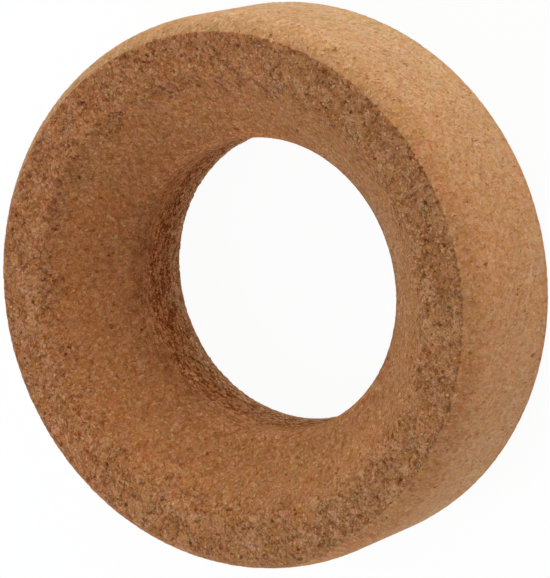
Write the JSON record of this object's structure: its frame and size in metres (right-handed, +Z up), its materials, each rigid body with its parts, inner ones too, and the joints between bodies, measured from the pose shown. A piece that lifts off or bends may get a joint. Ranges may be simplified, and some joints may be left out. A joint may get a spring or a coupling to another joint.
{
  "type": "cork ring",
  "caption": "Low turned cork ring with a funnel-shaped seat and an open bore, which holds a round-bottomed flask steady on a bench.",
  "frame": {"origin": "centre of the flat base, on the ring's axis", "axes": "+Z up along the ring's axis, out of the seat; the ring is round, so X and Y are free"},
  "size_m": [0.11, 0.11, 0.0315],
  "materials": {
    "cork": "matt agglomerated cork, fine granules bonded together, sanded on the outside and the seat, coarser and open-grained on the rim and in the bore"
  },
  "bodies": {
    "root": {"cork_ring": "cork"}
  },
  "joints": []
}
